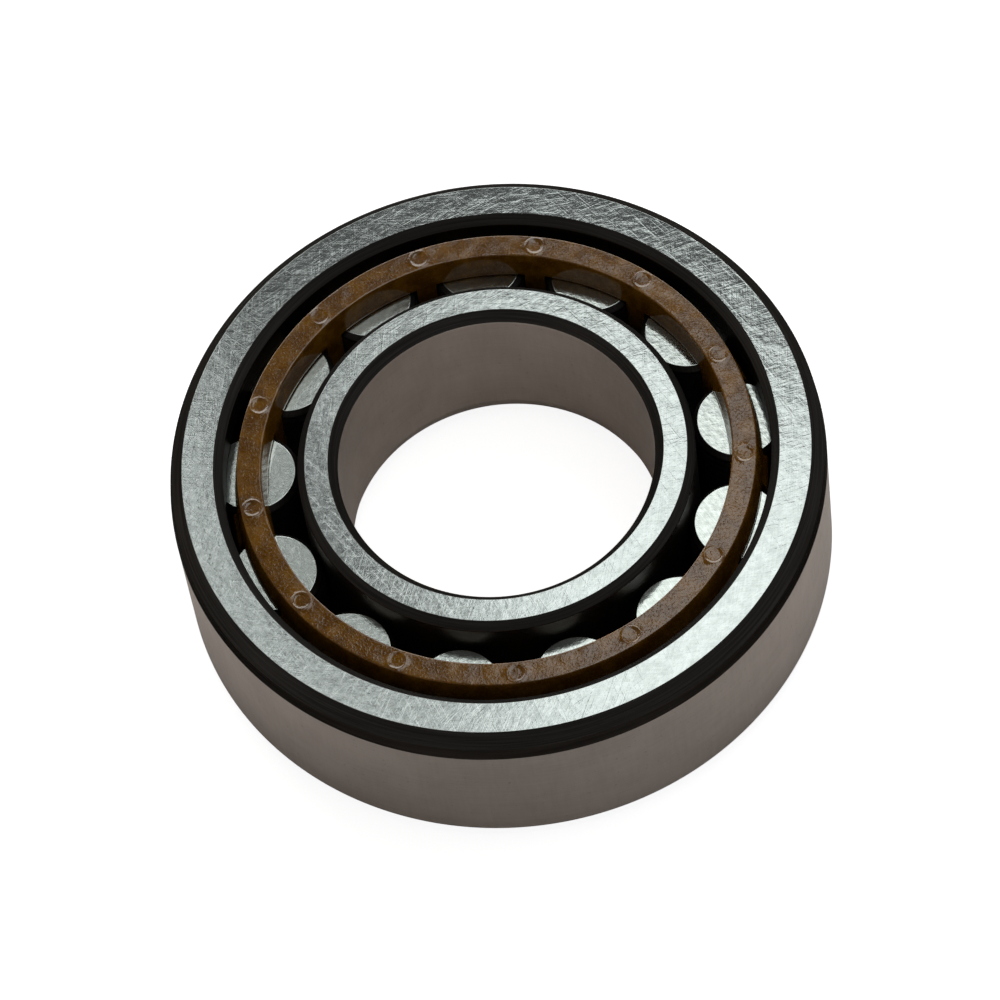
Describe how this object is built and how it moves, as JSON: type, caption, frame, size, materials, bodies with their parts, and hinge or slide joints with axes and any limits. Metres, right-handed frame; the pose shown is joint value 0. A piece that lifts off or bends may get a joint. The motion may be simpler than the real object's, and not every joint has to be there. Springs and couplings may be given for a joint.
{
  "type": "cylindrical roller bearing",
  "caption": "Single-row cylindrical roller bearing with a ribbed outer ring, a one-rib inner ring and a moulded window cage that carries the rollers.",
  "frame": {"origin": "centre of the bearing's lower side, in the plane of both rings' lower side faces", "axes": "+Z along the bearing's axis, from the inner ring's ribbed side to its plain side; +X in the plane of the side face, 3.67 degrees clockwise of roller_01 seen from above; +Y completes the right-handed frame"},
  "size_m": [0.052, 0.052, 0.015],
  "materials": {
    "ring_steel": "ground hardened steel, fine grinding lines on the side faces, satin on the bore and outside diameter",
    "roller_steel": "finely ground and honed hardened steel, near mirror",
    "cage_polyamide": "moulded amber-brown glass-fibre filled polyamide, semi-gloss, slightly translucent"
  },
  "bodies": {
    "outer_ring": {"outer_ring": "ring_steel"},
    "inner_ring": {"inner_ring": "ring_steel"},
    "cage": {"cage": "cage_polyamide"},
    "roller_01": {"roller_01": "roller_steel"},
    "roller_02": {"roller_02": "roller_steel"},
    "roller_03": {"roller_03": "roller_steel"},
    "roller_04": {"roller_04": "roller_steel"},
    "roller_05": {"roller_05": "roller_steel"},
    "roller_06": {"roller_06": "roller_steel"},
    "roller_07": {"roller_07": "roller_steel"},
    "roller_08": {"roller_08": "roller_steel"},
    "roller_09": {"roller_09": "roller_steel"},
    "roller_10": {"roller_10": "roller_steel"},
    "roller_11": {"roller_11": "roller_steel"},
    "roller_12": {"roller_12": "roller_steel"},
    "roller_13": {"roller_13": "roller_steel"}
  },
  "joints": [
    {"name": "inner_ring_spin", "type": "hinge", "parent": "outer_ring", "child": "inner_ring", "pos_m": [0, 0, 0.0075], "axis": [0, 0, 1], "continuous": true},
    {"name": "cage_spin", "type": "hinge", "parent": "outer_ring", "child": "cage", "pos_m": [0, 0, 0.0075], "axis": [0, 0, 1], "continuous": true},
    {"name": "roller_01_spin", "type": "hinge", "parent": "cage", "child": "roller_01", "pos_m": [0.01946, 0.00125, 0.0075], "axis": [0, 0, 1], "continuous": true},
    {"name": "roller_02_spin", "type": "hinge", "parent": "cage", "child": "roller_02", "pos_m": [0.01665, 0.01015, 0.0075], "axis": [0, 0, 1], "continuous": true},
    {"name": "roller_03_spin", "type": "hinge", "parent": "cage", "child": "roller_03", "pos_m": [0.01003, 0.01672, 0.0075], "axis": [0, 0, 1], "continuous": true},
    {"name": "roller_04_spin", "type": "hinge", "parent": "cage", "child": "roller_04", "pos_m": [0.00111, 0.01947, 0.0075], "axis": [0, 0, 1], "continuous": true},
    {"name": "roller_05_spin", "type": "hinge", "parent": "cage", "child": "roller_05", "pos_m": [-0.00807, 0.01775, 0.0075], "axis": [0, 0, 1], "continuous": true},
    {"name": "roller_06_spin", "type": "hinge", "parent": "cage", "child": "roller_06", "pos_m": [-0.01539, 0.01197, 0.0075], "axis": [0, 0, 1], "continuous": true},
    {"name": "roller_07_spin", "type": "hinge", "parent": "cage", "child": "roller_07", "pos_m": [-0.01919, 0.00345, 0.0075], "axis": [0, 0, 1], "continuous": true},
    {"name": "roller_08_spin", "type": "hinge", "parent": "cage", "child": "roller_08", "pos_m": [-0.0186, -0.00587, 0.0075], "axis": [0, 0, 1], "continuous": true},
    {"name": "roller_09_spin", "type": "hinge", "parent": "cage", "child": "roller_09", "pos_m": [-0.01374, -0.01384, 0.0075], "axis": [0, 0, 1], "continuous": true},
    {"name": "roller_10_spin", "type": "hinge", "parent": "cage", "child": "roller_10", "pos_m": [-0.00573, -0.01864, 0.0075], "axis": [0, 0, 1], "continuous": true},
    {"name": "roller_11_spin", "type": "hinge", "parent": "cage", "child": "roller_11", "pos_m": [0.00358, -0.01917, 0.0075], "axis": [0, 0, 1], "continuous": true},
    {"name": "roller_12_spin", "type": "hinge", "parent": "cage", "child": "roller_12", "pos_m": [0.01208, -0.01531, 0.0075], "axis": [0, 0, 1], "continuous": true},
    {"name": "roller_13_spin", "type": "hinge", "parent": "cage", "child": "roller_13", "pos_m": [0.01781, -0.00794, 0.0075], "axis": [0, 0, 1], "continuous": true}
  ],
  "couplings": [
    {"joint": "cage_spin", "follows": "inner_ring_spin", "ratio": 0.40385},
    {"joint": "roller_01_spin", "follows": "inner_ring_spin", "ratio": -2.5038},
    {"joint": "roller_02_spin", "follows": "inner_ring_spin", "ratio": -2.5038},
    {"joint": "roller_03_spin", "follows": "inner_ring_spin", "ratio": -2.5038},
    {"joint": "roller_04_spin", "follows": "inner_ring_spin", "ratio": -2.5038},
    {"joint": "roller_05_spin", "follows": "inner_ring_spin", "ratio": -2.5038},
    {"joint": "roller_06_spin", "follows": "inner_ring_spin", "ratio": -2.5038},
    {"joint": "roller_07_spin", "follows": "inner_ring_spin", "ratio": -2.5038},
    {"joint": "roller_08_spin", "follows": "inner_ring_spin", "ratio": -2.5038},
    {"joint": "roller_09_spin", "follows": "inner_ring_spin", "ratio": -2.5038},
    {"joint": "roller_10_spin", "follows": "inner_ring_spin", "ratio": -2.5038},
    {"joint": "roller_11_spin", "follows": "inner_ring_spin", "ratio": -2.5038},
    {"joint": "roller_12_spin", "follows": "inner_ring_spin", "ratio": -2.5038},
    {"joint": "roller_13_spin", "follows": "inner_ring_spin", "ratio": -2.5038}
  ]
}
